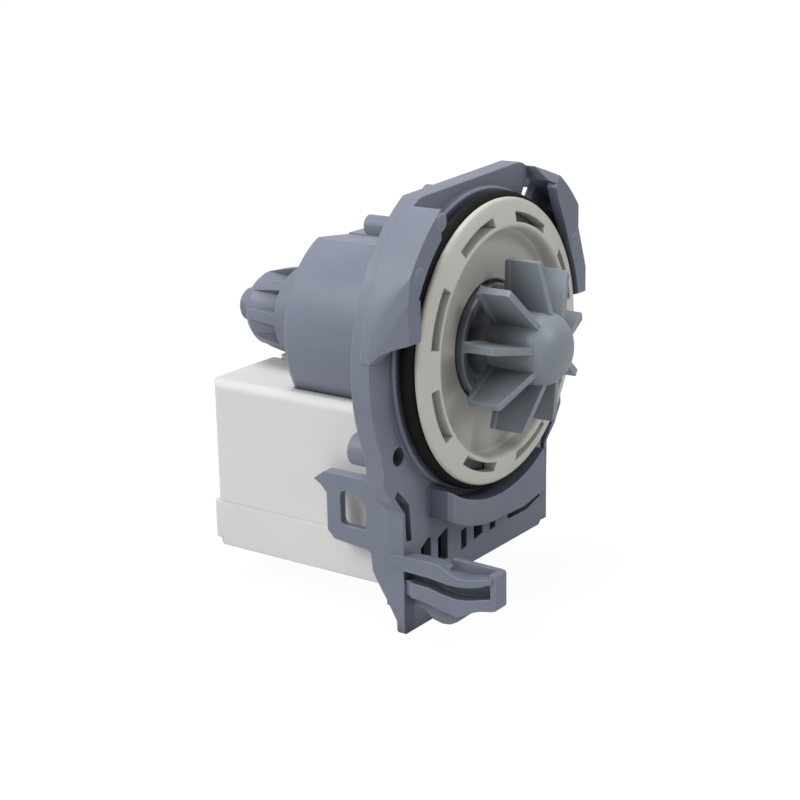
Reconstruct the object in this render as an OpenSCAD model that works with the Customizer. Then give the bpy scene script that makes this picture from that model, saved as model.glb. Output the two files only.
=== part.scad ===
// Dishwasher drain pump: wet rotor, twist-lock carrier, potted coil block.
// Pump axis along Y through x = 0, z = 0. The impeller looks towards -Y, +Z is up.
// y = 0 is the front plane of the cover's rim. Millimetres.

/* [Cover and seal] */
// radius of the shallow bowl that the impeller runs in
bowl_r = 25.3; // [25:0.1:26]
// radial width of the cover's rim round the bowl
rim_w = 6.7; // [6.6:0.1:7]
// number of slots in the cover's rim
slot_count = 8; // [6:1:10]
// radial width of a slot
slot_w = 2.2; // [2:0.1:2.3]
// section diameter of the seal ring
seal_d = 3.3; // [3.1:0.05:3.4]

/* [Flange] */
// how far the round flange stands out beyond the cover
flange_w = 9; // [8.8:0.1:9.4]
// distance of the flange's front face behind the cover's rim
flange_y = 6.4; // [6.3:0.1:6.7]
// thickness of the flange plate
plate_t = 2; // [1.8:0.1:2.2]
// thickness of the rim wall that runs back round the plate
rim_t = 1.9; // [1.6:0.1:2.1]
// depth of the flange from its front face to the back of the rim wall
rim_depth = 4.6; // [4.4:0.1:4.8]
// half of the width of the lower plate
plate_half = 30; // [29.6:0.1:30.3]
// drop of the lower plate's bottom edge below the pump axis
plate_drop = 52.3; // [52:0.1:53]

/* [Ears] */
// distance of the ears' front face before the cover's rim
ear_front = 0.5; // [0.3:0.1:0.8]
// radial width of an ear's front face
ear_w = 5; // [4.6:0.1:5.1]
// thickness of an ear's outer wall
ear_wall = 2.1; // [1.9:0.1:2.4]
// thickness of the lip that holds the pump's flange against the sump
lip_t = 2.4; // [2:0.1:2.8]

/* [Dowel holes] */
// distance between the two holes
dowel_span = 62; // [61.6:0.1:62.4]
// drop of the holes below the pump axis
dowel_drop = 19; // [18.5:0.1:19.5]
// radius of the holes
dowel_r = 2.1; // [2:0.05:2.3]
// radius of the boss round each hole
boss_r = 3.6; // [3.4:0.1:3.9]
// length of the boss behind the plate
boss_len = 9; // [8:0.5:10]

/* [Guard under the cover] */
// gap between the cover's edge and the guard
guard_gap = 3.4; // [3:0.1:3.6]
// radial width of the guard
guard_w = 5.8; // [5.6:0.1:6]
// distance of the guard's front face behind the cover's rim
guard_y = 0.5; // [0.3:0.1:1]

/* [Side brackets and latch] */
// thickness of the side walls and brackets
bracket_t = 1.9; // [1.6:0.1:2.1]
// width of the two latch blades
latch_w = 2.9; // [2.6:0.1:3.2]
// thickness of the latch's web beyond the blades
web_t = 1.2; // [1:0.1:1.4]
// how far the lower left tab hangs below the plate
tab_drop = 8.1; // [7.8:0.1:8.4]

/* [Rotor tube and pole cover] */
// inner radius of the wet rotor tube
tube_r = 13; // [12.9:0.05:13.2]
// wall of the rotor tube
tube_t = 1.5; // [1.3:0.1:1.6]
// outer radius of the round pole cover
can_r = 23.4; // [23.3:0.05:23.6]
// wall of the pole cover
can_t = 1.7; // [1.5:0.1:1.8]
// rear face of the pole cover behind the cover's rim
can_rear = 43.8; // [43.6:0.1:44.2]

/* [Ribbed bearing knob] */
// radius of the knob at its root
knob_r = 11.2; // [10.8:0.1:11.3]
// number of ribs round the knob
knob_ribs = 8; // [6:1:9]
// angle that one rib covers
rib_angle = 15; // [12:1:18]
// length of the knob behind the pole cover
knob_len = 29; // [28:0.5:30]

/* [Rotor] */
// radius of the shaft
shaft_r = 2; // [1.95:0.01:2.05]
// running clearance between the shaft and its bushes
running_gap = 0.03; // [0.02:0.01:0.06]
// gap between the magnet and the wall of its tube
magnet_gap = 0.7; // [0.6:0.05:0.9]
// front end of the magnet and of the steel stack behind the cover's rim
stack_front = 16.3; // [16.3:0.1:17.3]
// radius of the two washers beside the magnet
washer_r = 4.8; // [4.4:0.1:5]

/* [Impeller] */
// number of vanes
vane_count = 9; // [7:1:9]
// radius of the vane tips
vane_tip_r = 19.1; // [18.8:0.1:20]
// thickness of a vane
vane_t = 1.6; // [1.4:0.1:1.8]
// radius of the hub
hub_r = 8.2; // [8:0.1:8.4]
// radius of the cup-shaped base behind the vanes
base_r = 13; // [12.8:0.1:13.2]
// distance of the nose tip before the cover's rim
nose_y = 16.7; // [16.4:0.1:17]
// angle that one half of the driver's lobe covers
dog_half = 30; // [26:1:32]
// angle that each rubber pad on the driver covers
pad_angle = 12; // [10:1:13]
// angle that one half of the impeller's key covers
key_half = 30; // [26:1:32]

/* [Coil block] */
// half of the block's width
block_half = 24.3; // [24.2:0.05:24.6]
// rear face of the block behind the cover's rim
block_rear = 64.3; // [63.5:0.1:65]
// drop of the block's top face below the pump axis
block_top = 12; // [11.9:0.1:12.3]
// drop of the block's bottom face below the pump axis
block_drop = 52.2; // [52:0.1:53]
// how far the foot band stands out from the block
band_out = 0.7; // [0.5:0.1:0.9]
// width of one leg of the steel core
leg_w = 8; // [7.8:0.1:8]
// distance of a leg's middle from the pump's middle plane
leg_x = 12.9; // [12.9:0.05:13]
// width of one terminal blade
blade_w = 6.3; // [6.1:0.1:6.4]
// radius of the yoke's two rivets
rivet_r = 1.6; // [1.5:0.1:1.8]
// radius of the thermal fuse
fuse_r = 1.6; // [1.4:0.1:1.7]
// length of the thermal fuse's body
fuse_len = 12; // [11:0.5:14]

/* [Hidden] */
far = 100;
deep = 20;
// radii that follow from the cover
cover_r = bowl_r + rim_w;
flange_r = cover_r + flange_w;
guard_in = cover_r + guard_gap;
guard_r = guard_in + guard_w;
// planes along the pump axis
rim_rear = flange_y + rim_depth;
plate_rear = flange_y + plate_t;
land_y = 2.3;
shoulder_y = 5;
tube_end = can_rear - can_t;
tube_floor = tube_end - 1.6;
bush_len = 6;
front_bush_y = 7.4;
rear_bush_y = tube_floor + 0.4;
stack_rear = tube_floor - 2.2;
stack_len = stack_rear - stack_front;
stack_mid = (stack_front + stack_rear) / 2;
shaft_rear = rear_bush_y + bush_len + 9;
// the plastic hub that carries the magnet
hub_front_t = 1.4;
hub_rear_t = 1.1;
magnet_r = tube_r - magnet_gap;
hub_core_r = magnet_r * 0.52;
hub_flange_r = magnet_r - 0.9;
// radii shared by the bearings and their seats
bush_r = 4.4;
sleeve_r = 5.8;
bore_r = shaft_r + running_gap;
free_hole_r = shaft_r + 0.6;
seat_r = sleeve_r + 2;
// cover: a channel behind the rim takes the carrier's ring wall
fit_gap = 0.2;
wall_in = bowl_r + 1.2;
wall_out = wall_in + 2.2;
skirt_r = cover_r - 2;
slot_mid = bowl_r + 2.5;
rim_edge_y = -1.3;
rim_under_y = 1.2;
seal_room_r = skirt_r + seal_d + 0.3;
// the carrier's plate is dished behind the cover, and so is the cover behind the impeller
dish_y = flange_y + 1.4;
well_r = base_r + 0.7;
floor_y = 3.2;
well_y = dish_y - 2.1;
// the top flat of the flange lies on a line between two points of its round edge
flat_tilt = 3;
flat_height = flange_r * 0.881;
// the pole cover's flat
can_tilt = 6.2;
can_flat_z = can_r - 3.7;
dish_r = can_flat_z - can_t - 1.2;
// ears
ear_r = flange_r + 0.3;
ear_in = ear_r - ear_w;
ear_wall_in = ear_r - ear_wall;
lip_top = 16;
ear_fold = 20.7;
ear_lean_top = ear_r - 8.9;
ear_lean_fold = ear_r - 3.9;
ear_lean_right = ear_r - 5.3;
ear_lean_left = ear_r - 4.9;
ramp_start = 44;
// coil windings
leg_gap = 0.1;
bobbin_wall = 1;
barrel_x = leg_w / 2 + leg_gap + bobbin_wall;
barrel_y = stack_len / 2 + leg_gap + bobbin_wall;
coil_x = 10.2;
coil_y = barrel_y + 2.9;
flange_top = -24.6;
yoke_top = -41;
yoke_low = yoke_top - leg_w;
block_front = rim_rear + 0.3;
trough_gap = 0.15;
band_top = -41.7;
connector_front = block_rear - 10;
blade_t = 0.8;
blade_x = 5;
blade_z = -34;
blade_front = stack_mid + coil_y + 0.1;
// rivets and fuse
rivet_head_r = rivet_r + 1;
rivet_head = rivet_r / 2;
fuse_x = coil_x - leg_x + fuse_r;
fuse_z = -33;
// impeller hub cavity with the driver in it
cavity_r = hub_r - 1.5;
cavity_front = -8.6;
dog_front = -8;
dog_rear = -2;
dog_core_r = 3.6;
dog_r = cavity_r - 0.4;
nose_len = 6;
shaft_front = -13;
shaft_room = shaft_front - 0.4;
base_front = 1.8;
base_rear = well_y - 0.5;
base_floor = base_rear - 0.8;
base_wall = 1.5;
neck_y = -1;
neck_r = hub_r - 0.5;
cap_front = -0.3;
cap_rear = 1.5;
// latch
latch_end = -16.4;
bar_end = -17.3;

// draws a flat shape in x and z and pulls it along the pump axis from y0 to y1
module along_y(y0, y1) {
    translate([0, y1, 0]) rotate([90, 0, 0]) linear_extrude(y1 - y0) children();
}

// draws a flat shape in y and z and pulls it sideways from x0 to x1
module along_x(x0, x1) {
    translate([x0, 0, 0]) rotate([90, 0, 90]) linear_extrude(x1 - x0) children();
}

// turns a flat shape in radius and y round the pump axis
module turned() {
    rotate([-90, 0, 0]) rotate_extrude($fn = 128) children();
}

module disc(r, y0, y1) {
    translate([0, y0, 0]) rotate([-90, 0, 0]) cylinder(r = r, h = y1 - y0, $fn = 96);
}

module pin(x, z, r, y0, y1) {
    translate([x, 0, z]) disc(r, y0, y1);
}

// flat ring between two radii
module ring2d(r_out, r_in) {
    difference() {
        circle(r = r_out, $fn = 128);
        circle(r = r_in, $fn = 128);
    }
}

// flat wedge from angle a0 to a1, counted from +x towards +z
module wedge(a0, a1) {
    polygon(concat([[0, 0]],
        [for (k = [0 : 4]) let (a = a0 + (a1 - a0) * k / 4) far * [cos(a), sin(a)]]));
}

module arc2d(r_out, r_in, a0, a1) {
    intersection() {
        ring2d(r_out, r_in);
        wedge(a0, a1);
    }
}

// flat box with round corners
module soft_box(x0, z0, x1, z1, r) {
    translate([x0 + r, z0]) square([x1 - x0 - 2 * r, z1 - z0]);
    translate([x0, z0 + r]) square([x1 - x0, z1 - z0 - 2 * r]);
    for (x = [x0 + r, x1 - r]) for (z = [z0 + r, z1 - r]) translate([x, z]) circle(r = r, $fn = 32);
}

module both_sides() {
    children();
    mirror([1, 0, 0]) children();
}

// the same corner points moved inwards by t
function inward(p, t) = [for (i = [0 : len(p) - 1]) let (
    a = p[(i + len(p) - 1) % len(p)], b = p[i], c = p[(i + 1) % len(p)],
    u = (b - a) / norm(b - a), v = (c - b) / norm(c - b),
    m = [-u[1] - v[1], u[0] + v[0]]) b + t * m / (1 + u * v)];

// lower plate: round the dowel bosses, then straight down, counter-clockwise
lower_half = [[plate_half - 3.5, -plate_drop], [plate_half - 2, 1.5 - plate_drop],
    [plate_half - 1.2, 7 - plate_drop], [plate_half, -40], [plate_half + 0.2, -31.8],
    [plate_half + 3.8, -28.5], [plate_half + 6.6, -24.2], [plate_half + 6.5, -21.6],
    [plate_half + 7.4, -16.4], [plate_half - 2, -3]];
lower_left = [for (i = [len(lower_half) - 1 : -1 : 3]) [-lower_half[i][0], lower_half[i][1]]];
lower_shape = concat(lower_half, lower_left, [[-plate_half, -plate_drop]]);

// outline of the flange, moved inwards by t
module flange_shape(t) {
    difference() {
        union() {
            circle(r = flange_r - t, $fn = 128);
            polygon(inward(lower_shape, t));
        }
        rotate(flat_tilt) translate([-far / 2, flat_height - t]) square([far, far]);
    }
}

// vents and the two bent slots in the lower plate
module vents() {
    polygon([[-23.4, -46.6], [-19.4, -47.4], [-19.4, -41], [-20.4, -40.6], [-23.4, -42.4]]);
    polygon([[-16.7, -48], [-12.8, -48], [-12.8, -40.4], [-16.7, -42]]);
    polygon([[-7.4, -48], [-5, -47.6], [-5, -42.9], [-7.4, -43.2]]);
    polygon([[-2.1, -47.2], [1.6, -46.4], [1.6, -43.2], [-2.1, -43.6]]);
    polygon([[4.6, -47], [7.1, -46.6], [7.1, -43.8], [4.6, -44.2]]);
    polygon([[12.4, -46.6], [21, -46.8], [27, -45.2], [27, -44.4], [19.8, -45.6], [12.4, -45.4]]);
    both_sides() polygon([[-28.8, -39.1], [-26.7, -39.3], [-27.3, -30.9], [-31.6, -26.4],
        [-32.7, -28], [-29, -32.5]]);
}

// one ear, drawn on the right-hand side: a wall on the flange with a lip in front
module ear_solid(a0, a1) {
    difference() {
        along_y(-ear_front, plate_rear) arc2d(ear_r, cover_r + 1, a0, a1);
        // room behind the lip
        along_y(lip_t - ear_front, flange_y) circle(r = ear_in, $fn = 128);
        // room for the seal
        along_y(0.9, flange_y) circle(r = seal_room_r, $fn = 128);
    }
}

// wedge that takes the outer side away so that it leans in towards the front
module lean_cut(x_front, x_rear, z0, z1) {
    slope = (x_rear - x_front) / (flange_y + ear_front);
    translate([0, 0, z0]) linear_extrude(z1 - z0) polygon([[x_front - slope * 2, -ear_front - 2],
        [x_rear, flange_y], [far, flange_y], [far, -ear_front - 2]]);
}

module right_ear() {
    difference() {
        ear_solid(5, 63);
        // the lip's inner edge is straight above and follows the cover below
        along_y(-deep, flange_y) polygon([[0, far], [ear_r - 20.9, 36], [ear_r - 19.5, 32.2],
            [ear_r - 18.3, 29.3], [ear_r - 16.9, 26.2], [ear_r - 15.1, 22.6], [ear_r - 13.5, 18.9],
            [ear_r - 12.3, 15.6], [0, 15.6]]);
        // outer side: straight, then folded outwards below the fold
        lean_cut(ear_lean_top, flange_r, ear_fold, 28.8);
        intersection() {
            rotate([0, -19.6, 0]) lean_cut(ear_lean_fold, flange_r + 0.6, -far, far);
            translate([0, -deep, ear_fold - far]) cube([far, far, far]);
        }
        lean_cut(ear_lean_right, flange_r, -deep, ear_fold);
        // lower end leans back
        along_x(0, far) polygon([[-deep, -deep], [deep, -deep], [deep, 1], [flange_y, 2.4],
            [-ear_front, 4.6], [-deep, 11]]);
        // upper end ramps down from the ear's face to the top of the flange
        rotate([0, -54.5, 0]) along_x(0, far) polygon([[-deep, 0], [-ear_front, 0], [flange_y, 6.2],
            [flange_y, deep], [-deep, deep]]);
        // hollow under the ramp, where only the outer wall stays
        along_y(lip_t - ear_front, far) arc2d(ear_wall_in, 30, ramp_start, 64);
        along_y(-deep, flange_y) arc2d(ear_wall_in, 30, ramp_start + 10.5, 64);
    }
}

// the left ear's outer side runs from a straight fold in front to the round flange
module left_ear_form() {
    front_arc = [for (a = [122 : 3 : 149]) ear_r * [cos(a), sin(a)]];
    foot_arc = [for (a = [122 : 3 : 176]) ear_r * [cos(a), sin(a)]];
    hull() {
        along_y(-ear_front, 0.1 - ear_front)
            polygon(concat([[-20, 0], [-20, 35]], front_arc,
                [[-ear_lean_left, 16], [-ear_lean_left, 0]]));
        along_y(flange_y, plate_rear) polygon(concat([[-20, 0], [-20, 35]], foot_arc));
    }
}

module left_ear() {
    difference() {
        intersection() {
            mirror([1, 0, 0]) ear_solid(5, 58);
            left_ear_form();
        }
        // upper part keeps a plain wall, the lip reaches further in below it
        along_y(-deep, flange_y) intersection() {
            circle(r = ear_in, $fn = 128);
            translate([-far, lip_top]) square([far, far]);
        }
        along_y(-deep, flange_y) translate([0.1 - cover_r, lip_top - far]) square([far, far]);
        // rounded lower end
        along_x(-far, 0) polygon([[-deep, -deep], [deep, -deep], [deep, 2.4], [flange_y, 2.6],
            [flange_y - 0.6, 4], [4.6, 5.2], [2.5, 6.4], [-ear_front, 7.3], [-deep, 13]]);
        translate([-24, -deep, 0]) cube([far, deep + flange_y, far]);
    }
}

// curved guard under the cover
module guard_shape(t) {
    difference() {
        union() {
            intersection() {
                circle(r = guard_r - t, $fn = 128);
                translate([-20 + t, -far]) square([39 - 2 * t, far - 25]);
            }
            polygon([[2, -36], [2, -guard_r + t], [9.7, -41.4 + t], [19 - t, -40.2 + t],
                [19 - t, -33.2]]);
        }
        circle(r = guard_in + t, $fn = 128);
    }
}

module guard() {
    difference() {
        along_y(guard_y, plate_rear) guard_shape(0);
        along_y(guard_y + 1.8, far) guard_shape(1.6);
        // soft left end
        translate([-20, guard_y, 0]) rotate([0, 0, 45]) cube([1.2, 1.2, far], center = true);
    }
}

// side wall with its bracket: y and z of the corners
bracket_shape = [[flange_y, -26.4], [15.8, -26.4], [27.5, -26.3], [30.4, -28.4], [28.5, -29.5],
    [26.9, -31.2], [26.9, -39.8], [25.1, -41.6], [16.3, -42.4], [15.1, -43], [14.7, -47.1],
    [12.1, -51.5], [flange_y, -51.5]];
bracket_window = [[16.4, -37.9], [22.2, -37.9], [22.9, -37.6], [23.2, -36.9], [23.2, -31.2],
    [22.9, -30.3], [22.2, -29.9], [19.6, -29.8], [18.2, -30.4], [16.6, -32.2], [16.4, -33]];

module bracket() {
    along_x(plate_half - bracket_t, plate_half) difference() {
        polygon(bracket_shape);
        polygon(bracket_window);
    }
}

// stiff hook along the bracket's upper edge
module bracket_rib() {
    along_x(plate_half - 3, plate_half) polygon([[flange_y, -26.4], [27.5, -26.3], [30.4, -28.4],
        [28.5, -29.5], [27.2, -27.9], [flange_y, -27.9]]);
}

// tab under the lower left corner
module tab() {
    low = -plate_drop - tab_drop;
    along_y(flange_y, plate_rear) polygon([[-plate_half, -plate_drop + 2], [-plate_half, low + 0.6],
        [-plate_half + 0.6, low], [-19, low], [-18, low + 0.8], [-18, -plate_drop + 2]]);
    along_x(-plate_half, -plate_half + bracket_t) polygon([[flange_y, -51], [12.4, -51], [10.7, -53.6],
        [flange_y + 0.6, low + 0.3], [flange_y, low + 0.3]]);
    // foot of the tab turned back
    along_y(flange_y, rim_rear) polygon([[-plate_half, -plate_drop], [-plate_half, -plate_drop - rim_t],
        [-18, -plate_drop - rim_t], [-18, -plate_drop]]);
}

// latch: two blades that run forward from the plate along a web, with a bar at the end
upper_blade = [[8.7, -41.9], [4.6, -41.8], [-0.6, -41.7], [-2.4, -41.8], [-4.5, -42.6],
    [-6.2, -43.5], [-8.3, -44], [-10.8, -43.6], [-13.3, -43.1], [latch_end, -42.1],
    [latch_end, -43.4], [-13.3, -44.7], [-10.8, -45.4], [-8.3, -45.8], [-5.7, -45.9],
    [-3.1, -45.7], [-1.1, -45.4], [2.1, -45.3], [6.4, -45.2], [8.7, -44.5]];
lower_blade = [[flange_y + 1, -47.6], [2.1, -47.8], [-0.5, -47.9], [-3.1, -48.5], [-6.2, -48.9],
    [-8.2, -48.9], [-10.8, -48.4], [-13.3, -47.7], [latch_end, -46.9], [latch_end, -49.7],
    [-13, -50.4], [-11, -51.2], [-9, -52.4], [-7.4, -53.1], [-5.6, -52.7], [-2.3, -52.2],
    [1.4, -51.4], [flange_y + 1, -50.9]];
latch_web = [[flange_y + 1, -43.6], [-1, -43.6], [-3, -42.2], [-4.8, -41.1], [bar_end + 1, -41.3],
    [bar_end + 1, -49.4], [-14.4, -50.3], [-10.1, -51.9], [-5.4, -55.7], [-3.7, -56.6],
    [-1.5, -56.8], [0.7, -56.3], [2.7, -54.6], [flange_y + 1, -53.5]];
latch_bar = [[bar_end + 1.4, -41.3], [bar_end + 0.3, -41.4], [bar_end, -41.8], [bar_end, -49],
    [bar_end + 0.3, -49.5], [bar_end + 1.4, -49.6]];

module latch() {
    x0 = -plate_half;
    x1 = x0 + latch_w;
    // the upper blade stands proud of the side wall and has a round rear end
    along_x(x0 - 0.4, x1 + 0.1) {
        polygon(upper_blade);
        translate([8.7, -43.2]) circle(r = 1.3, $fn = 32);
    }
    difference() {
        along_x(x0, x1 + 0.1) polygon(lower_blade);
        translate([x0 - 1, 4.7, -52]) cube([1.7, flange_y - 4.8, 5]);
    }
    along_x(x1, x1 + web_t) polygon(latch_web);
    along_x(x0, x1 + web_t) polygon(latch_bar);
    // pip on the upper blade
    translate([x0 + 1.2, -4.9, -44]) cylinder(r = 0.7, h = 2, $fn = 24);
}

// ribs behind the flange
module back_ribs() {
    rib_start = can_r + 0.8;
    for (a = [20, 75, 105, 160]) {
        under_flat = a > 70 && a < 110 ? 3 : 0;
        rotate([0, -a, 0]) translate([rib_start, plate_rear - 0.2, -0.8])
            cube([flange_r - rim_t - rib_start + 0.4 - under_flat, 2.3, 1.6]);
    }
    for (x = [-22, -11, 0, 11, 22]) translate([x - 0.8, plate_rear - 0.2, -plate_drop + 1])
        cube([1.6, 1.9, 3.2]);
}

// knob: a bearing housing whose end is fluted between narrow ribs, with a small boss behind
module knob() {
    y0 = tube_end - 0.2;
    tip = can_rear + knob_len;
    flute_y = tip - 17;
    flute_end = tip - 7.4;
    pitch = 360 / knob_ribs;
    difference() {
        turned() polygon([[0, y0], [knob_r, y0], [knob_r, can_rear], [knob_r - 0.3, flute_y],
            [knob_r - 1.1, tip - 12.3], [knob_r - 2, tip - 8.8], [knob_r - 2.3, flute_end],
            [knob_r - 3.4, tip - 5.9], [5.2, tip - 4.6], [4, tip - 4.6], [4, tip - 0.8],
            [3.4, tip - 0.2], [2.6, tip], [0, tip]]);
        // the flutes run out towards the rear
        for (k = [0 : knob_ribs - 1]) difference() {
            along_y(flute_y, flute_end)
                arc2d(knob_r + 5, 5, 141 + k * pitch, 141 - rib_angle + (k + 1) * pitch);
            translate([0, flute_y - 1, 0]) rotate([-90, 0, 0])
                cylinder(r1 = knob_r - 3.3, r2 = knob_r - 2.25, h = flute_end - flute_y + 1, $fn = 96);
        }
    }
}

// 1. carrier: one moulding with flange, ears, guard, latch, rotor tube and knob
module carrier() {
    color("slategray") difference() {
        union() {
            difference() {
                union() {
                    along_y(flange_y, plate_rear) flange_shape(0);
                    // rim wall
                    along_y(flange_y, rim_rear) difference() {
                        flange_shape(0);
                        flange_shape(rim_t);
                    }
                    // shoulder that the seal lies on, and the ring wall inside the cover
                    turned() polygon([[wall_in, plate_rear], [wall_in, land_y], [wall_out, land_y],
                        [wall_out, shoulder_y], [cover_r + 1.6, shoulder_y],
                        [cover_r + 2, shoulder_y + 0.4], [cover_r + 2.1, plate_rear]]);
                    disc(dish_r + 1, plate_rear - 0.2, dish_y + plate_t);
                }
                // the plate is open behind the right ear's ramp
                along_y(0, plate_rear + 1) arc2d(ear_wall_in, cover_r + 2.4, ramp_start + 7, 58);
                along_y(plate_rear, far) arc2d(far, 30, ramp_start - 2, ramp_start + 6);
                disc(dish_r, 0, dish_y);
                disc(tube_r, 0, far);
            }
            right_ear();
            left_ear();
            guard();
            both_sides() bracket();
            both_sides() bracket_rib();
            tab();
            latch();
            back_ribs();
            // dowel bosses and the blind boss at the upper left
            both_sides() pin(dowel_span / 2, -dowel_drop, boss_r, flange_y + 0.5, plate_rear + boss_len);
            pin(-23, 28.4, 2.2, flange_y + 1, plate_rear + 10.1);
            pin(-8, 33, 2.2, flange_y + 1, rim_rear + 3.1);
            // rotor tube with its end wall
            turned() polygon([[tube_r, dish_y], [tube_r + tube_t, dish_y], [tube_r + tube_t, tube_end],
                [sleeve_r, tube_end], [sleeve_r, tube_floor], [tube_r, tube_floor]]);
            // collar that the pole cover slips over
            along_y(plate_rear - 0.1, plate_rear + 5) difference() {
                ring2d(can_r - can_t - 0.1, can_r - can_t - 1.7);
                above_flat(-can_t - 0.1, -far / 2);
            }
            knob();
        }
        both_sides() pin(dowel_span / 2, -dowel_drop, dowel_r, -deep, far);
        along_y(flange_y - 1, plate_rear + 3.4) vents();
        // seat of the rear bearing and room for the shaft's end
        disc(sleeve_r, tube_floor - 1, rear_bush_y + bush_len + 0.2);
        disc(free_hole_r, tube_floor, shaft_rear + 1.5);
    }
}

// 2. cover with bowl, slots, skirt and the front bearing's seat
module cover() {
    seat_end = front_bush_y + bush_len;
    front = [[free_hole_r, well_y + 0.1], [well_r - 0.3, well_y], [well_r, well_y - 0.3],
        [well_r, floor_y + 0.3], [well_r + 0.3, floor_y], [bowl_r - 0.6, 2.7], [bowl_r, 2.1],
        [bowl_r + 0.1, -0.4],
        [bowl_r + 0.35, rim_edge_y + 0.35], [bowl_r + 0.8, rim_edge_y], [bowl_r + 1.6, rim_edge_y + 0.15],
        [cover_r - 0.9, -0.12], [cover_r - 0.3, 0.15], [cover_r, 0.6], [cover_r, rim_under_y]];
    rear = [[skirt_r, rim_under_y], [skirt_r, shoulder_y], [wall_out + fit_gap, shoulder_y],
        [wall_out + fit_gap, land_y - fit_gap], [wall_in - fit_gap, land_y - fit_gap],
        [wall_in - fit_gap, 5], [dish_r - 0.8, 5.9], [well_r + 1.6, dish_y - 0.6],
        [seat_r + 0.4, dish_y - 0.6],
        [seat_r, dish_y], [seat_r, seat_end], [sleeve_r, seat_end], [sleeve_r, front_bush_y - 0.2],
        [free_hole_r, front_bush_y - 0.2]];
    color("ivory") difference() {
        turned() polygon(concat(front, rear));
        for (k = [0 : slot_count - 1]) {
            a = 22.5 + k * 360 / slot_count;
            along_y(-5, land_y) arc2d(slot_mid + slot_w / 2, slot_mid - slot_w / 2, a - 13.5, a + 13.5);
        }
    }
}

// 3. rubber seal between cover and shoulder
module cover_seal() {
    color("black") turned() translate([skirt_r + seal_d / 2 + 0.02, (rim_under_y + shoulder_y) / 2])
        circle(r = seal_d / 2, $fn = 48);
}

// everything above the flat on the pole cover's top, raised by h
module above_flat(h, x0) {
    rotate(-can_tilt) translate([x0, can_flat_z + h]) square([far, far]);
}

// side line of the pole cover, moved outwards by g
function can_side(g) = [[0, plate_rear - g], [can_r + 0.3 + g, plate_rear - g],
    [can_r + 0.2 + g, plate_rear + 6], [can_r + g, can_rear - 1.6], [can_r - 0.4 + g, can_rear - 0.7 + g],
    [can_r - 1.2 + g, can_rear - 0.1 + g], [can_r - 1.8 + g, can_rear + g], [0, can_rear + g]];

// 4. round cover over the pole pieces, open in front, slotted for the core's legs
module pole_cover() {
    inner = can_r - can_t;
    slot_half = leg_w / 2 + 0.3;
    color("slategray") difference() {
        turned() polygon(can_side(0));
        // flat on the top, a step higher on the right
        along_y(0, far) difference() {
            above_flat(0, -far / 2);
            translate([3, 0]) square([far, can_flat_z + 0.1]);
        }
        along_y(plate_rear - 1, tube_end) difference() {
            circle(r = inner, $fn = 128);
            above_flat(-can_t, -far / 2);
        }
        disc(knob_r + 0.2, 0, far);
        both_sides() translate([leg_x - slot_half, plate_rear - 1, -far])
            cube([2 * slot_half, stack_rear + 1.4 - plate_rear, far - 8]);
    }
}

module bush(y0, r_out, r_in) {
    along_y(y0, y0 + bush_len) ring2d(r_out, r_in);
}

// 5. to 8. sintered bushes, each in a rubber sleeve
module front_bearing() {
    color("peru") bush(front_bush_y, bush_r, bore_r);
}

module front_bearing_sleeve() {
    color("dimgray") bush(front_bush_y, sleeve_r, bush_r);
}

module rear_bearing() {
    color("peru") bush(rear_bush_y, bush_r, bore_r);
}

module rear_bearing_sleeve() {
    color("dimgray") bush(rear_bush_y, sleeve_r, bush_r);
}

// a flat shape and its mirror image
module both_flats() {
    children();
    mirror([1, 0]) children();
}

// one pole piece: a curved pole with the leg that its coil sits on
module pole_piece() {
    r_in = tube_r + tube_t + 0.1;
    r_out = can_r - can_t - 0.2;
    color("gray") along_y(stack_front, stack_rear) difference() {
        union() {
            intersection() {
                ring2d(r_out, r_in);
                wedge(-75, 75);
            }
            translate([leg_x - leg_w / 2, yoke_top]) square([leg_w, -yoke_top - 10]);
        }
        circle(r = r_in, $fn = 128);
        // both pole pieces stay under the cover's flat
        both_flats() above_flat(-can_t - 0.2, -far / 2);
    }
}

// 9. and 10. steel pole pieces
module pole_right() {
    pole_piece();
}

module pole_left() {
    mirror([1, 0, 0]) pole_piece();
}

// 11. yoke under the two legs, drilled for its rivets
module core_yoke() {
    color("gray") difference() {
        along_y(stack_front, stack_rear) translate([-leg_x - leg_w / 2, yoke_low])
            square([2 * leg_x + leg_w, yoke_top - yoke_low]);
        both_sides() pin(leg_x, (yoke_top + yoke_low) / 2, rivet_r, 0, far);
    }
}

// 12. two rivets through the yoke
module core_rivets() {
    z = (yoke_top + yoke_low) / 2;
    color("silver") both_sides() {
        pin(leg_x, z, rivet_r, stack_front, stack_rear);
        pin(leg_x, z, rivet_head_r, stack_front - rivet_head, stack_front);
        pin(leg_x, z, rivet_head_r, stack_rear, stack_rear + rivet_head);
    }
}

// flat frame between two boxes round a leg
module coil_frame(x_out, y_out, x_in, y_in, r) {
    translate([leg_x, stack_mid]) difference() {
        soft_box(-x_out, -y_out, x_out, y_out, r);
        translate([-x_in, -y_in]) square([2 * x_in, 2 * y_in]);
    }
}

module bobbin() {
    hole_x = leg_w / 2 + leg_gap;
    hole_y = stack_len / 2 + leg_gap;
    color("white") {
        translate([0, 0, yoke_top]) linear_extrude(flange_top - yoke_top)
            coil_frame(barrel_x, barrel_y, hole_x, hole_y, 0.8);
        for (z = [yoke_top, flange_top - 1]) translate([0, 0, z]) linear_extrude(1)
            coil_frame(coil_x + 0.1, coil_y + 0.1, hole_x, hole_y, 1);
    }
}

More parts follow.
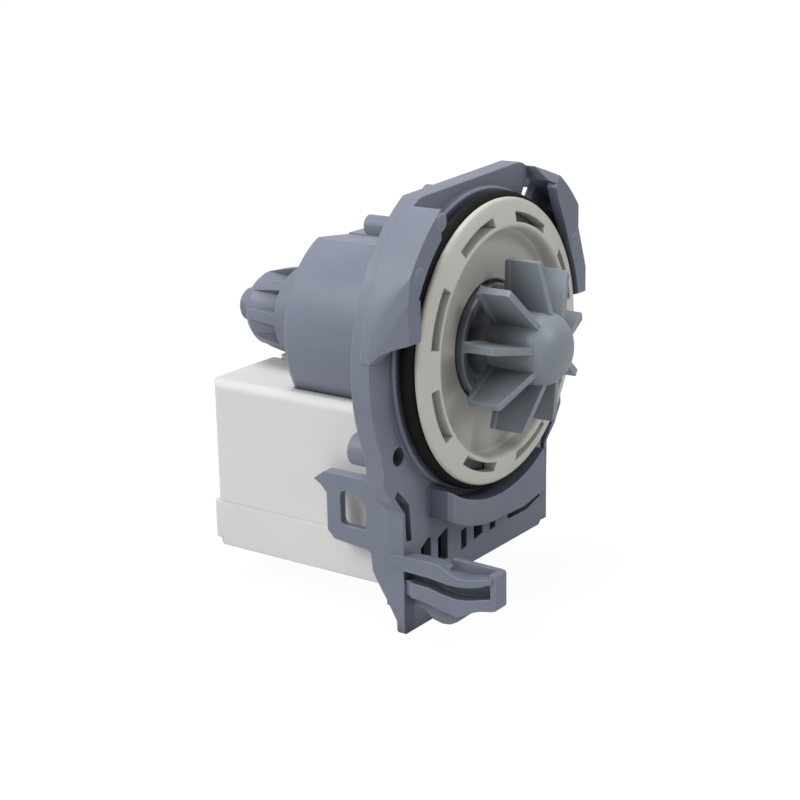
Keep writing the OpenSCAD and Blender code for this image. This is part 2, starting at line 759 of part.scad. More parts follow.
module winding() {
    height = flange_top - yoke_top - 2;
    color("chocolate") translate([leg_x, stack_mid, yoke_top + 1]) linear_extrude(height)
        difference() {
            soft_box(-coil_x, -coil_y, coil_x, coil_y, 3);
            soft_box(-barrel_x, -barrel_y, barrel_x, barrel_y, 0.8);
        }
}

// 13. to 16. bobbins and windings
module bobbin_right() {
    bobbin();
}

module bobbin_left() {
    mirror([1, 0, 0]) bobbin();
}

module winding_right() {
    winding();
}

module winding_left() {
    mirror([1, 0, 0]) winding();
}

// 17. thermal fuse against the left winding
module thermal_fuse() {
    color("tan") {
        pin(fuse_x, fuse_z, fuse_r, stack_mid - fuse_len / 2, stack_mid + fuse_len / 2);
        pin(fuse_x, fuse_z, fuse_r / 4, stack_mid - fuse_len / 2 - 3, stack_mid + fuse_len / 2 + 3);
    }
}

// 18. and 19. blades of the plug-in connector
module terminal(s, front = blade_front) {
    x0 = s * blade_x - blade_t / 2;
    half = blade_w / 2;
    root = connector_front - 3;
    color("silver") translate([0, 0, blade_z]) along_x(x0, x0 + blade_t)
        polygon([[front, -1.5], [front, 1.5], [root, 1.5], [root, half],
        [block_rear - 2, half],
        [block_rear - 1, half - 1.2], [block_rear - 1, 1.2 - half], [block_rear - 2, -half],
        [root, -half], [root, -1.5]]);
}

module terminal_left() {
    terminal(-1);
}

module terminal_right() {
    terminal(1);
}

// the block's body before it is hollowed
module block_body() {
    intersection() {
        along_y(block_front, block_rear)
            soft_box(-block_half, -block_drop - 5, block_half, -block_top, 2.2);
        translate([0, 0, -block_drop]) linear_extrude(far)
            soft_box(-block_half, block_front, block_half, block_rear, 1.8);
    }
    // foot band, with its rear lower edge stepped back
    difference() {
        translate([0, 0, -block_drop]) linear_extrude(block_drop + band_top)
            soft_box(-block_half - band_out, block_front, block_half + band_out,
                block_rear + band_out, 1.6);
        translate([-far, block_rear - 2, -far]) cube([2 * far, far, far - block_drop + 1.6]);
    }
}

// rooms in the potting for the coils, the core, the fuse and the blades
module block_rooms() {
    both_sides() {
        translate([leg_x - coil_x - 0.1, stack_mid - coil_y - 0.1, yoke_top])
            cube([2 * coil_x + 0.2, 2 * coil_y + 0.2, flange_top - yoke_top]);
        translate([leg_x - leg_w / 2 - 0.1, stack_front - 0.1, yoke_top])
            cube([leg_w + 0.2, stack_len + 0.2, far]);
        pin(leg_x, (yoke_top + yoke_low) / 2, rivet_head_r + 0.1, stack_front - rivet_head,
            stack_rear + rivet_head);
    }
    translate([-leg_x - leg_w / 2, stack_front, yoke_low])
        cube([2 * leg_x + leg_w, stack_len, yoke_top - yoke_low]);
    translate([fuse_x - fuse_r - 0.1, stack_mid - fuse_len / 2 - 3, fuse_z - fuse_r])
        cube([2 * fuse_r + 0.2, fuse_len + 6, 2 * fuse_r]);
}

// 20. white potted block round the coils, with the connector's recess behind
module coil_block() {
    color("white") difference() {
        block_body();
        block_rooms();
        turned() polygon(can_side(trough_gap));
        // furrow between the two halves, behind the pole cover
        along_y(can_rear, far) translate([-1.5, -block_top - 3.4]) square([3, 10]);
        along_y(connector_front, far) soft_box(-10.5, blade_z - 5.5, 10.5, blade_z + 5.5, 1);
        // the blades' slots open into the coil rooms
        for (s = [-1, 1]) terminal(s, blade_front - 0.5);
    }
}

// 21. stainless shaft
module rotor_shaft() {
    bevel = 0.2 * shaft_r;
    color("silver") turned() polygon([[0, shaft_front], [shaft_r - bevel, shaft_front],
        [shaft_r, shaft_front + bevel], [shaft_r, shaft_rear - bevel], [shaft_r - bevel, shaft_rear],
        [0, shaft_rear]]);
}

// 22. and 23. magnet on its plastic hub
module rotor_magnet() {
    color("#303030") along_y(stack_front, stack_rear) ring2d(magnet_r, hub_core_r);
}

module rotor_hub() {
    front = stack_front - hub_front_t;
    rear = stack_rear + hub_rear_t;
    color("whitesmoke") turned() polygon([[shaft_r, front], [hub_flange_r - 0.8, front],
        [hub_flange_r, front + 0.6], [hub_flange_r, stack_front], [hub_core_r, stack_front],
        [hub_core_r, stack_rear], [hub_flange_r, stack_rear], [hub_flange_r, rear - 0.5],
        [hub_flange_r - 0.8, rear], [shaft_r, rear]]);
}

// 24. and 25. washers that ride on the shaft
module front_washer() {
    color("dimgray") along_y(stack_front - hub_front_t - 0.9, stack_front - hub_front_t)
        ring2d(washer_r, shaft_r);
}

module rear_washer() {
    color("dimgray") along_y(stack_rear + hub_rear_t, stack_rear + hub_rear_t + 0.8)
        ring2d(washer_r, shaft_r);
}

// 26. driver pressed on the shaft, its lobe upwards
module drive_dog() {
    color("lightgray") along_y(dog_front, dog_rear) {
        ring2d(dog_core_r, shaft_r);
        arc2d(dog_r, dog_core_r - 0.4, 90 - dog_half, 90 + dog_half);
    }
}

// 27. rubber pads on both flanks of the lobe, joined by a ring
module dog_cushion() {
    a = dog_half;
    b = dog_half + pad_angle;
    color("black") {
        along_y(dog_rear, dog_rear + 1) ring2d(dog_core_r + 0.6, shaft_r);
        along_y(dog_front, dog_rear + 1) {
            arc2d(dog_r, dog_core_r, 90 + a, 90 + b);
            arc2d(dog_r, dog_core_r, 90 - b, 90 - a);
        }
    }
}

// one vane, drawn in radius and y, thicker towards its rear edge, which carries a bead
module vane() {
    half = vane_t / 2;
    intersection() {
        translate([0, 0, -3]) linear_extrude(6) polygon([[cavity_r + 0.6, -12.4], [hub_r, -12.6],
            [vane_tip_r - 0.4, -9.7], [vane_tip_r, -9.3], [vane_tip_r, -1.9], [vane_tip_r - 0.3, -1.6],
            [cavity_r + 0.6, -1.2]]);
        translate([cavity_r, 0, 0]) rotate([90, 0, 90]) linear_extrude(far) polygon(concat(
            [[-13, 0.1 - half], [-2.9, -half - 0.1], [-2.4, -half - 0.35], [-1.9, -half - 0.4]],
            [[0, -half - 0.4], [0, half + 0.4], [-1.9, half + 0.4], [-2.4, half + 0.35]],
            [[-2.9, half + 0.1], [-13, half - 0.1]]));
    }
}

// 28. impeller: hollow hub with domed nose, vanes and base ring
module impeller() {
    color("lightslategray") {
        difference() {
            union() {
                turned() polygon(concat(
                    [for (a = [0 : 9 : 90]) [hub_r * sin(a), nose_len * (1 - cos(a)) - nose_y]],
                    [[hub_r, neck_y], [neck_r, neck_y + 0.6], [neck_r, base_floor],
                    [base_r - base_wall, base_floor], [base_r - base_wall, base_front],
                    [base_r - 0.3, base_front], [base_r, base_front + 0.3], [base_r, base_rear],
                    [0, base_rear]]));
                for (k = [0 : vane_count - 1]) rotate([0, -170 - k * 360 / vane_count, 0]) vane();
            }
            disc(cavity_r, cavity_front, base_rear + 1);
            disc(bore_r, shaft_room, 0);
        }
        // key that the driver pushes
        along_y(cavity_front - 0.1, dog_rear)
            arc2d(cavity_r + 0.2, dog_core_r + 0.35, -90 - key_half, -90 + key_half);
    }
}

// 29. cap welded into the hub behind the driver
module hub_cap() {
    color("lightslategray") along_y(cap_front, cap_rear) ring2d(cavity_r, bore_r);
}

carrier();
cover();
cover_seal();
pole_cover();
front_bearing();
front_bearing_sleeve();
rear_bearing();
rear_bearing_sleeve();
pole_left();
pole_right();
core_yoke();
core_rivets();
bobbin_left();
bobbin_right();
winding_left();
winding_right();
thermal_fuse();
terminal_left();
terminal_right();
coil_block();
rotor_shaft();
rotor_magnet();
rotor_hub();
front_washer();
rear_washer();
drive_dog();
dog_cushion();
impeller();
hub_cap();
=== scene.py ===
import bpy
import bmesh
import math
from mathutils import Matrix, Vector


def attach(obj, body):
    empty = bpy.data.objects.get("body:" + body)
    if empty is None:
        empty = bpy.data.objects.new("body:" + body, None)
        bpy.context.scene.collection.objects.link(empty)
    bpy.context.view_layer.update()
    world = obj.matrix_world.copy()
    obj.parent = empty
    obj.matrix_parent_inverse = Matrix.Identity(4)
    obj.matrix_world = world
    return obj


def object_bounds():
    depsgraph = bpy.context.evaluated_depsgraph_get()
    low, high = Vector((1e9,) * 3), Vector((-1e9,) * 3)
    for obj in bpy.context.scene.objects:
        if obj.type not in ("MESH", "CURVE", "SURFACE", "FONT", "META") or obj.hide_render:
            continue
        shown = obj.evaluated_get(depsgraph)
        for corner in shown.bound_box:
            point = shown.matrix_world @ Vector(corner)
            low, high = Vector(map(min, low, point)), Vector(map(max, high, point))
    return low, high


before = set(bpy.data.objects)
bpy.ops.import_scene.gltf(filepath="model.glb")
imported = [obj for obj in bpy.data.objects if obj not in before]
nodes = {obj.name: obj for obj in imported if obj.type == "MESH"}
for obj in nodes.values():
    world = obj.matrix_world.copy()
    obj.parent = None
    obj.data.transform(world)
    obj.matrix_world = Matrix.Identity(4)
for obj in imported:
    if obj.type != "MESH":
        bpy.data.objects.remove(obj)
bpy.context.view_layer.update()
MM = 0.001

# Carrier
# The blue-grey part that everything hangs on: flange, ears, guard, latch, rotor tube and knob.
# Filled polypropylene, injection moulded in one shot against a finely etched tool.


def graph(name):
    """Starts a material, and gives it with its node tree and its main shader."""
    finish = bpy.data.materials.new(name)
    finish.use_nodes = True
    tree = finish.node_tree
    return finish, tree, tree.nodes["Principled BSDF"]


def add(tree, kind, **settings):
    """Adds a node of a kind and sets its options."""
    node = tree.nodes.new(kind)
    for key, value in settings.items():
        setattr(node, key, value)
    return node


def object_point(tree):
    """The point on the piece, in metres, in the pump's frame or the piece's own."""
    return add(tree, "ShaderNodeTexCoord").outputs["Object"]


def noise(tree, point, size, detail=2.0):
    """Cloudy pattern whose lumps are about size metres across."""
    node = add(tree, "ShaderNodeTexNoise")
    node.inputs["Scale"].default_value = 1.0 / size
    node.inputs["Detail"].default_value = detail
    tree.links.new(point, node.inputs["Vector"])
    return node.outputs["Fac"]


def spread(tree, value, low, high, start=0.3, end=0.7):
    """Maps values from start to end onto low to high, and holds those beyond at the ends."""
    node = add(tree, "ShaderNodeMapRange")
    node.inputs["From Min"].default_value = start
    node.inputs["From Max"].default_value = end
    node.inputs["To Min"].default_value = low
    node.inputs["To Max"].default_value = high
    tree.links.new(value, node.inputs["Value"])
    return node.outputs["Result"]


def tint(tree, share, first, second):
    """Blends two fixed colours, all first at a share of 0 and all second at 1."""
    node = add(tree, "ShaderNodeMix", data_type="RGBA")
    node.inputs["A"].default_value = (*first, 1)
    node.inputs["B"].default_value = (*second, 1)
    tree.links.new(share, node.inputs["Factor"])
    return node.outputs["Result"]


def clouded(tree, pattern, colour, mottle):
    """A colour that is a little darker here and a little lighter there."""
    dark = tuple(channel * (1 - mottle) for channel in colour)
    light = tuple(channel * (1 + mottle) for channel in colour)
    return tint(tree, spread(tree, pattern, 0.0, 1.0), dark, light)


def paint_bowl_shade(tree, point, base, radius, colour):
    """Paints another tone within a radius of the pump axis, blended in over a narrow band: painted
    shade in the cover's bowl.
    """
    band = 0.0012
    flat = add(tree, "ShaderNodeVectorMath", operation="MULTIPLY")
    flat.inputs[1].default_value = (1, 0, 1)
    tree.links.new(point, flat.inputs[0])
    span = add(tree, "ShaderNodeVectorMath", operation="LENGTH")
    tree.links.new(flat.outputs["Vector"], span.inputs[0])
    inner = add(tree, "ShaderNodeMix", data_type="RGBA")
    inner.inputs["B"].default_value = (*colour, 1)
    inside = spread(tree, span.outputs["Value"], 1.0, 0.0, radius - band, radius)
    tree.links.new(inside, inner.inputs["Factor"])
    tree.links.new(base, inner.inputs["A"])
    return inner.outputs["Result"]


def bump(tree, height, depth, normal=None):
    """Tilts the surface by a pattern of height, up to a depth in metres."""
    node = add(tree, "ShaderNodeBump")
    node.inputs["Distance"].default_value = depth
    tree.links.new(height, node.inputs["Height"])
    if normal is not None:
        tree.links.new(normal, node.inputs["Normal"])
    return node.outputs["Normal"]


def round_edges(tree, radius):
    """A normal that runs round the edges, as if each had a radius in metres."""
    node = add(tree, "ShaderNodeBevel")
    node.samples = 6
    node.inputs["Radius"].default_value = radius
    return node.outputs["Normal"]


def edge_mask(tree, bevelled):
    """1 on edges, where the rounded normal leaves the true one, and 0 on plain faces."""
    leaves_most, leaves_least = 0.80, 0.995
    dot = add(tree, "ShaderNodeVectorMath", operation="DOT_PRODUCT")
    tree.links.new(bevelled, dot.inputs[0])
    tree.links.new(add(tree, "ShaderNodeNewGeometry").outputs["True Normal"], dot.inputs[1])
    return spread(tree, dot.outputs["Value"], 1.0, 0.0, leaves_most, leaves_least)


def paint_recess_shade(tree, colour, reach, floor):
    """Paints shade into a colour in grooves and pockets, down to floor where walls stand within reach.
    """
    shut_in, open_air = 0.15, 0.75
    node = add(tree, "ShaderNodeAmbientOcclusion", samples=8)
    node.inputs["Distance"].default_value = reach
    shade = spread(tree, node.outputs["AO"], floor, 1.0, shut_in, open_air)
    both = add(tree, "ShaderNodeMix", data_type="RGBA", blend_type="MULTIPLY")
    both.inputs["Factor"].default_value = 1.0
    grey = add(tree, "ShaderNodeCombineColor")
    for channel in ("Red", "Green", "Blue"):
        tree.links.new(shade, grey.inputs[channel])
    tree.links.new(colour, both.inputs["A"])
    tree.links.new(grey.outputs["Color"], both.inputs["B"])
    return both.outputs["Result"]


def moulding(name, colour, rough=0.42, mottle=0.07, grain=0.00035, radius=0.0003, edge_highlight=1.12,
             reach=0.008, floor=0.45, bowl_shade=None):
    """Moulded plastic with cloudy pigment, etched grain and sink marks. Its edges are rounded
    to radius and painted lighter by the edge factor, a painted highlight, and recesses are
    darkened down to floor within reach, painted shade. An optional (radius, colour) pair paints
    another tone round the pump axis, also painted shade. Lengths are in metres."""
    cloud_size, patch_size, sink_size = 0.018, 0.006, 0.009
    sink_depth, etch_depth = 0.00005, 0.000012
    glossier, duller = 0.05, 0.06
    finish, tree, shader = graph(name)
    link = tree.links.new
    point = object_point(tree)
    base = clouded(tree, noise(tree, point, cloud_size, detail=4.0), colour, mottle)
    if bowl_shade is not None:
        base = paint_bowl_shade(tree, point, base, *bowl_shade)
    edges = round_edges(tree, radius)
    # painted highlight: the edges are painted lighter by the edge factor
    highlit_edges = add(tree, "ShaderNodeMix", data_type="RGBA", blend_type="MULTIPLY")
    highlit_edges.inputs["B"].default_value = (edge_highlight, edge_highlight, edge_highlight, 1)
    link(edge_mask(tree, edges), highlit_edges.inputs["Factor"])
    link(base, highlit_edges.inputs["A"])
    link(paint_recess_shade(tree, highlit_edges.outputs["Result"], reach, floor), shader.inputs["Base Color"])
    patches = noise(tree, point, patch_size, detail=3.0)
    link(spread(tree, patches, rough - glossier, rough + duller), shader.inputs["Roughness"])
    sunk = bump(tree, noise(tree, point, sink_size, detail=1.0), sink_depth, edges)
    link(bump(tree, noise(tree, point, grain), etch_depth, sunk), shader.inputs["Normal"])
    return finish


def dress(node, finish):
    """Puts one finish on a CAD node."""
    mesh = nodes[node].data
    mesh.materials.clear()
    mesh.materials.append(finish)


blue_grey = (0.212, 0.233, 0.301)
# edges painted lighter as a painted highlight, recesses darkened as painted shade
carrier_plastic = moulding("blue_grey_moulding", blue_grey, radius=0.00042, edge_highlight=1.75, floor=0.42)
dress("carrier", carrier_plastic)

# Ejector marks
# Round marks that the tool's ejector pins left on the front faces of the carrier's ears, in its
# own plastic: a low pad in a fine ring. Two are on the left ear and one is on the right.


def made(name, mesh, finish, place=(0, 0, 0)):
    """Makes an object of a closed mesh, with one finish, at a place in millimetres."""
    bmesh.ops.recalc_face_normals(mesh, faces=mesh.faces)
    data = bpy.data.meshes.new(name)
    mesh.to_mesh(data)
    mesh.free()
    data.materials.append(finish)
    piece = bpy.data.objects.new(name, data)
    piece.location = [length * MM for length in place]
    bpy.context.scene.collection.objects.link(piece)
    return piece


def turned(name, profile, place, finish, body, sides=40):
    """Turns a line of (radius, y) points in millimetres round an axis along Y through place."""
    mesh = bmesh.new()
    rings = []
    for radius, y in profile:
        if radius == 0:
            rings.append([mesh.verts.new((0, y * MM, 0))] * sides)
        else:
            angles = [2 * math.pi * side / sides for side in range(sides)]
            rings.append([mesh.verts.new((radius * MM * math.cos(angle), y * MM,
                                          radius * MM * math.sin(angle))) for angle in angles])
    for ring, next_ring in zip(rings, rings[1:]):
        for side in range(sides):
            after = (side + 1) % sides
            corners = []
            for corner in (ring[side], ring[after], next_ring[after], next_ring[side]):
                if corner not in corners:
                    corners.append(corner)
            mesh.faces.new(corners).smooth = True
    piece = made(name, mesh, finish, place)
    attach(piece, body)


ear_face_y = -0.5
pin_places = ((-32.0, 20.9), (-24.0, 30.9), (30.8, 17.6))
pin_mark = [(0, -0.26), (1.62, -0.26), (1.76, -0.16), (1.78, -0.02), (1.92, -0.02), (2.00, 0.03),
            (2.00, 0.2), (0, 0.2)]
for number, (x, z) in enumerate(pin_places, 1):
    turned(f"ear_pin_mark_{number}", pin_mark, (x, ear_face_y, z), carrier_plastic,
           "housing")

# Rear bearing
# Sintered bronze bush in a rubber sleeve, pushed into the closed end of the rotor tube.
# The bronze is porous and oiled, the sleeve is soft black rubber.


def metal(name, colour, rough, grain=0.0006, depth=0.00001, lines=None, mottle=0.12):
    """Bare metal with a cloudy colour, and a grain as deep as depth.
    lines = (axis, pitch) adds fine lines across that axis. Lengths are in metres."""
    cloud_size, patch_size, shade_reach, shade_floor = 0.004, 0.002, 0.004, 0.5
    edge_radius, line_depth, line_waver = 0.00015, 0.00004, 0.4
    glossier, duller = 0.08, 0.1
    finish, tree, shader = graph(name)
    link = tree.links.new
    point = object_point(tree)
    base = clouded(tree, noise(tree, point, cloud_size, detail=5.0), colour, mottle)
    # painted shade: the colour is darkened in recesses
    link(paint_recess_shade(tree, base, shade_reach, shade_floor), shader.inputs["Base Color"])
    shader.inputs["Metallic"].default_value = 1.0
    patches = noise(tree, point, patch_size, detail=4.0)
    link(spread(tree, patches, rough - glossier, rough + duller), shader.inputs["Roughness"])
    edges = round_edges(tree, edge_radius)
    normal = bump(tree, noise(tree, point, grain, detail=3.0), depth, edges)
    if lines is not None:
        axis, pitch = lines
        # at a scale of 1 the wave pattern repeats after this many metres
        plain_pitch = 0.314
        waves = add(tree, "ShaderNodeTexWave", wave_type="BANDS", bands_direction=axis)
        waves.inputs["Scale"].default_value = plain_pitch / pitch
        waves.inputs["Distortion"].default_value = line_waver
        link(point, waves.inputs["Vector"])
        normal = bump(tree, waves.outputs["Fac"], line_depth, normal)
    link(normal, shader.inputs["Normal"])
    return finish


def rubber(name, low, high, rough=0.38):
    """Matt rubber whose grey runs from low to high in a faint bloom."""
    bloom_size, grain_size, grain_depth = 0.004, 0.0008, 0.00002
    duller, sheen = 0.22, 0.14
    finish, tree, shader = graph(name)
    link = tree.links.new
    point = object_point(tree)
    bloom = noise(tree, point, bloom_size, detail=5.0)
    grey = tint(tree, spread(tree, bloom, 0.0, 1.0), (low,) * 3, (high,) * 3)
    link(grey, shader.inputs["Base Color"])
    link(spread(tree, bloom, rough, rough + duller), shader.inputs["Roughness"])
    shader.inputs["Specular IOR Level"].default_value = sheen
    link(bump(tree, noise(tree, point, grain_size), grain_depth), shader.inputs["Normal"])
    return finish


oiled_bronze = (0.38, 0.24, 0.11)
bronze = metal("sintered_bronze", oiled_bronze, rough=0.45, grain=0.00025, depth=0.00003)
sleeve_rubber = rubber("sleeve_rubber", low=0.018, high=0.036)
dress("rear_bearing", bronze)
dress("rear_bearing_sleeve", sleeve_rubber)

# Rotor
# Ferrite ring on a moulded nylon hub, which is pressed on the ground stainless shaft.
# A dark nylon washer on each side takes the end thrust.
ground_steel = (0.62, 0.62, 0.61)
hub_white = (0.68, 0.68, 0.65)
ferrite_black = (0.030, 0.030, 0.033)
washer_black = (0.05, 0.05, 0.055)
dress("rotor_shaft", metal("ground_stainless", ground_steel, rough=0.22, lines=("Y", 0.00015)))
dress("rotor_hub", moulding("hub_nylon", hub_white, mottle=0.03, floor=0.6))
dress("rotor_magnet", moulding("ferrite", ferrite_black, rough=0.34, mottle=0.25, grain=0.0002))
washer_nylon = moulding("washer_nylon", washer_black, rough=0.5)
dress("front_washer", washer_nylon)
dress("rear_washer", washer_nylon)

# Front bearing and cover
# The second bronze bush sits in the cover, a disc with eight slots that closes the rotor
# chamber. The cover is cream-grey acetal, moulded, and its bowl is painted browner: painted shade.
cream = (0.71, 0.70, 0.645)
# painted shade: inside this radius the bowl is painted a darker, browner tone
bowl_radius, bowl_shade_colour = 0.0250, (0.60, 0.585, 0.54)
dress("front_bearing", bronze)
dress("front_bearing_sleeve", sleeve_rubber)
# the bowl painted darker as painted shade, recesses darkened as painted shade
dress("cover", moulding("cream_moulding", cream, rough=0.36, mottle=0.04, radius=0.0005,
                        reach=0.010, floor=0.80, bowl_shade=(bowl_radius, bowl_shade_colour)))

# Seal
# Round rubber ring squeezed between the cover's skirt and the carrier's shoulder.
# Black nitrile, pressed, with a faint bloom.
dress("cover_seal", rubber("seal_rubber", low=0.005, high=0.010, rough=0.50))

# Stator
# Two legs of stacked electrical steel, curved round the rotor tube, each with a coil on a
# nylon bobbin. A yoke of the same steel joins them below, held by two rivets, and each coil
# ends in a tinned blade. A glazed thermal fuse lies beside the left coil.
sheet_steel = (0.30, 0.30, 0.31)
zinc = (0.55, 0.56, 0.57)
bobbin_white = (0.76, 0.74, 0.68)
copper = (0.52, 0.20, 0.06)
tin = (0.66, 0.65, 0.60)
glaze_tan = (0.55, 0.42, 0.28)
core_steel = metal("core_steel", sheet_steel, rough=0.42, lines=("Y", 0.0005), mottle=0.2)
for node in ("pole_left", "pole_right", "core_yoke"):
    dress(node, core_steel)
dress("core_rivets", metal("zinc_rivet", zinc, rough=0.35))
bobbin_nylon = moulding("bobbin_nylon", bobbin_white, mottle=0.03, floor=0.6)
wire = metal("enamelled_wire", copper, rough=0.25, lines=("Z", 0.0004), mottle=0.08)
tinned = metal("tinned_brass", tin, rough=0.28, lines=("Z", 0.0003))
for side in ("left", "right"):
    dress("bobbin_" + side, bobbin_nylon)
    dress("winding_" + side, wire)
    dress("terminal_" + side, tinned)
dress("thermal_fuse", moulding("fuse_glaze", glaze_tan, rough=0.25, floor=0.6))

# Coil block
# White potting cast round both coils and the yoke in a mould with a little draft.
# Filled polyester: matt, faintly cloudy, with tiny pores.
potting_white = (0.82, 0.82, 0.81)
dress("coil_block", moulding("white_potting", potting_white, rough=0.55, mottle=0.015,
                             grain=0.0006, radius=0.0006, edge_highlight=1.0, reach=0.004, floor=0.5))

# Painted shade behind the vents
# Thin black sheet with clipped corners and a matt rubber finish, laid on the block's front face.
# It stands in for the shade behind the vents, so that they show dark.
# The sizes of its cut sheet are in millimetres.
shade_half, shade_top, shade_low, shade_clip = 22.4, -30.0, -50.6, 2.5
shade_front, shade_back = 11.05, 11.26
edge_half = shade_half - shade_clip
left_side = [(-edge_half, shade_top), (-shade_half, shade_top - shade_clip),
             (-shade_half, shade_low + shade_clip), (-edge_half, shade_low)]
right_side = [(-x, z) for x, z in reversed(left_side)]
shade_outline = left_side + right_side
shade_mesh = bmesh.new()
front_ring, back_ring = [[shade_mesh.verts.new((x * MM, y * MM, z * MM)) for x, z in shade_outline]
                         for y in (shade_front, shade_back)]
shade_mesh.faces.new(front_ring)
shade_mesh.faces.new(back_ring)
for corner in range(len(front_ring)):
    after = (corner + 1) % len(front_ring)
    shade_mesh.faces.new((front_ring[corner], front_ring[after], back_ring[after], back_ring[corner]))
# painted shade: a dark sheet where there is only shade behind the vents
vent_shade_sheet = made("vent_shade_sheet", shade_mesh, rubber("vent_shade_black", low=0.006, high=0.012, rough=0.6))
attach(vent_shade_sheet, "housing")

# Pole cover
# Round cap of the carrier's plastic, slid over the pole pieces from behind and welded to
# the plate. It is moulded, and a collar shows at its rear edge.
cap_blue_grey = (0.216, 0.238, 0.311)
# edges painted lighter as a painted highlight, recesses darkened as painted shade
dress("pole_cover", moulding("pole_cover_moulding", cap_blue_grey, rough=0.38, radius=0.00042,
                             edge_highlight=1.75, floor=0.35))

# Driver
# Off-white acetal lobe pressed on the shaft's front end, with rubber pads on both flanks that
# soften the knock when it meets the impeller's key.
driver_white = (0.56, 0.56, 0.53)
dress("drive_dog", moulding("driver_moulding", driver_white, mottle=0.03, floor=0.6))
dress("dog_cushion", sleeve_rubber)

# Impeller
# Hollow hub with domed nose, nine vanes and a cup-shaped base, its cap welded in behind.
# Grey glass-filled polypropylene, moulded, with the gate mark at the tip of the nose.
impeller_grey = (0.290, 0.323, 0.372)
# edges painted lighter as a painted highlight, recesses strongly darkened as painted shade
impeller_plastic = moulding("impeller_moulding", impeller_grey, rough=0.40, mottle=0.05, edge_highlight=1.8,
                            reach=0.012, floor=0.27)
dress("impeller", impeller_plastic)
dress("hub_cap", impeller_plastic)
nose_tip = (0, -16.7, 0)
gate_mark = [(0, 0.05), (0.3, 0.06), (0.42, -0.08), (0.55, -0.1), (0.66, -0.06), (0.8, 0.06),
             (0.8, 0.3), (0, 0.3)]
turned("impeller_gate_mark", gate_mark, nose_tip, impeller_plastic,
       "impeller_wheel", sides=24)

# Lamps
# A large soft lamp at the left and a little behind, a weaker one in front and a broad one
# overhead, all turned to the middle of the pump.
middle = (0, 0.02, -0.01)


def area_lamp(name, place, size, power):
    """Hangs a round lamp of a size in metres at a place, turned to the middle of the pump."""
    data = bpy.data.lights.new(name, "AREA")
    data.shape = "DISK"
    data.size = size
    data.energy = power
    lamp = bpy.data.objects.new(name, data)
    lamp.location = place
    lamp.rotation_euler = (Vector(middle) - Vector(place)).to_track_quat("-Z", "Y").to_euler()
    bpy.context.scene.collection.objects.link(lamp)


area_lamp("key_lamp", (-0.78, 0.36, 0.68), size=0.5, power=5.1)
area_lamp("front_lamp", (0.12, -0.92, 0.80), size=0.5, power=3.7)
area_lamp("top_lamp", (-0.1, 0.15, 1.1), size=0.7, power=6.6)

# Studio air
# White for the eye and through anything clear, weaker in the sheen of the pieces, and faint
# as light on matt surfaces, where the lamps do the work.
air_fill, air_seen, air_sheen = 0.16, 1.0, 0.65


def combine(tree, operation, first, second):
    """Works out a value from two others, each another node's or a plain number."""
    node = add(tree, "ShaderNodeMath", operation=operation)
    for value, socket in zip((first, second), node.inputs):
        if isinstance(value, float):
            socket.default_value = value
        else:
            tree.links.new(value, socket)
    return node.outputs["Value"]


world = bpy.data.worlds.new("studio_air")
bpy.context.scene.world = world
world.use_nodes = True
tree = world.node_tree
path = add(tree, "ShaderNodeLightPath")
seen = combine(tree, "MAXIMUM", path.outputs["Is Camera Ray"], path.outputs["Is Transmission Ray"])
sheen = combine(tree, "MULTIPLY", path.outputs["Is Glossy Ray"], air_sheen)
brighter = combine(tree, "MAXIMUM", seen, sheen)
extra = combine(tree, "MULTIPLY", brighter, air_seen - air_fill)
air = tree.nodes["Background"]
air.inputs["Color"].default_value = (1, 1, 1, 1)
tree.links.new(combine(tree, "ADD", extra, air_fill), air.inputs["Strength"])

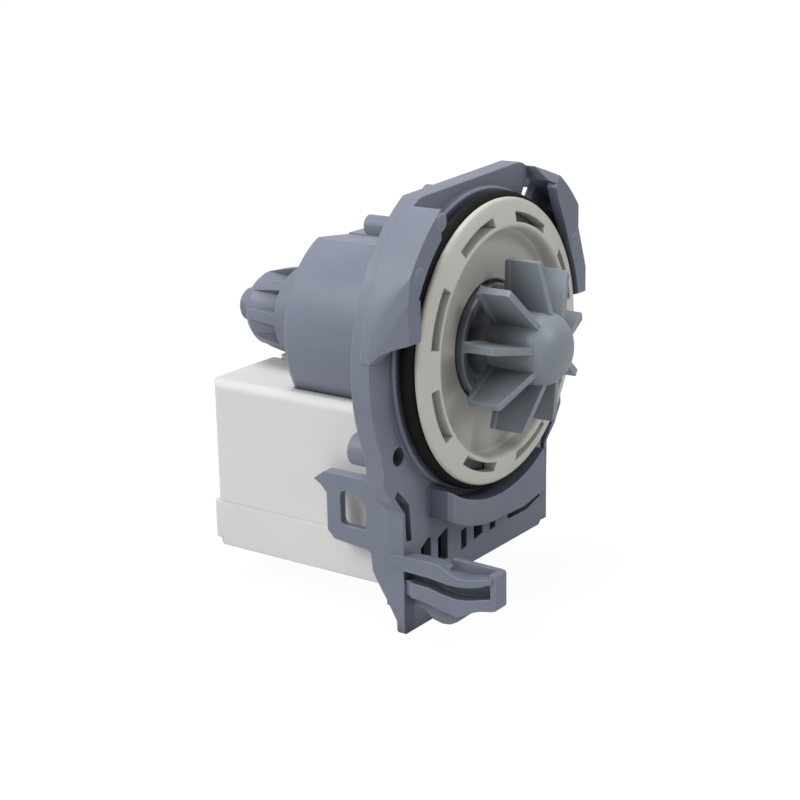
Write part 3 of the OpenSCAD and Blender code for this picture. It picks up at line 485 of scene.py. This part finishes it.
# Table
# White sheet under the pump. For the eye it glows, a little more as it runs away from the pump,
# so that it stays white out to the horizon and still takes a soft shadow near the pump.
table_radius = 8.0
dull_white, clean_white, cloud_size = (0.65, 0.65, 0.65), (0.67, 0.67, 0.67), 0.3
table_glow = 0.88
near, near_strength = 0.2, 1.08
far, far_strength = 0.8, 1.15
floor_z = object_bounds()[0][2]
ground = bmesh.new()
bmesh.ops.create_circle(ground, cap_ends=True, segments=96, radius=table_radius)
sheet = bpy.data.meshes.new("table_top")
ground.to_mesh(sheet)
ground.free()
table_top = bpy.data.objects.new("table_top", sheet)
table_top.location = (0, 0, floor_z)
bpy.context.scene.collection.objects.link(table_top)
white, tree, shader = graph("table_white")
point = object_point(tree)
paint = tint(tree, noise(tree, point, cloud_size), dull_white, clean_white)
tree.links.new(paint, shader.inputs["Base Color"])
shader.inputs["Roughness"].default_value = 0.9
away = add(tree, "ShaderNodeVectorMath", operation="LENGTH")
tree.links.new(point, away.inputs[0])
strength = spread(tree, away.outputs["Value"], near_strength, far_strength, near, far)
glow = add(tree, "ShaderNodeEmission")
tree.links.new(strength, glow.inputs["Strength"])
path = add(tree, "ShaderNodeLightPath")
mix = add(tree, "ShaderNodeMixShader")
tree.links.new(combine(tree, "MULTIPLY", path.outputs["Is Camera Ray"], table_glow), mix.inputs["Fac"])
tree.links.new(shader.outputs["BSDF"], mix.inputs[1])
tree.links.new(glow.outputs["Emission"], mix.inputs[2])
tree.links.new(mix.outputs["Shader"], tree.nodes["Material Output"].inputs["Surface"])
sheet.materials.append(white)

# Camera
# It stands where the photograph was taken from: in front and to the left, a little above the
# pump axis and slightly tipped. The steps and the distance are in millimetres from the origin.
swing, lift, roll = math.radians(-54.369), math.radians(16.438), math.radians(-1.1006)
side_step, up_step, distance = -22.4995, -12.6953, 396.979
sensor_width, focal_length = 36.0, 80.989
lens = bpy.data.cameras.new("photo_camera")
lens.sensor_width = sensor_width
lens.lens = focal_length
lens.clip_end = 50.0
camera = bpy.data.objects.new("photo_camera", lens)
back = Vector((math.sin(swing) * math.cos(lift), -math.cos(swing) * math.cos(lift), math.sin(lift)))
across = Vector((math.cos(swing), math.sin(swing), 0))
upright = back.cross(across)
right = across * math.cos(roll) + upright * math.sin(roll)
up = upright * math.cos(roll) - across * math.sin(roll)
eye = (right * side_step + up * up_step + back * distance) * MM
camera.matrix_world = Matrix((
    (right.x, up.x, back.x, eye.x),
    (right.y, up.y, back.y, eye.y),
    (right.z, up.z, back.z, eye.z),
    (0, 0, 0, 1)))
bpy.context.scene.collection.objects.link(camera)
bpy.context.scene.camera = camera
bpy.context.scene.view_settings.view_transform = "Standard"
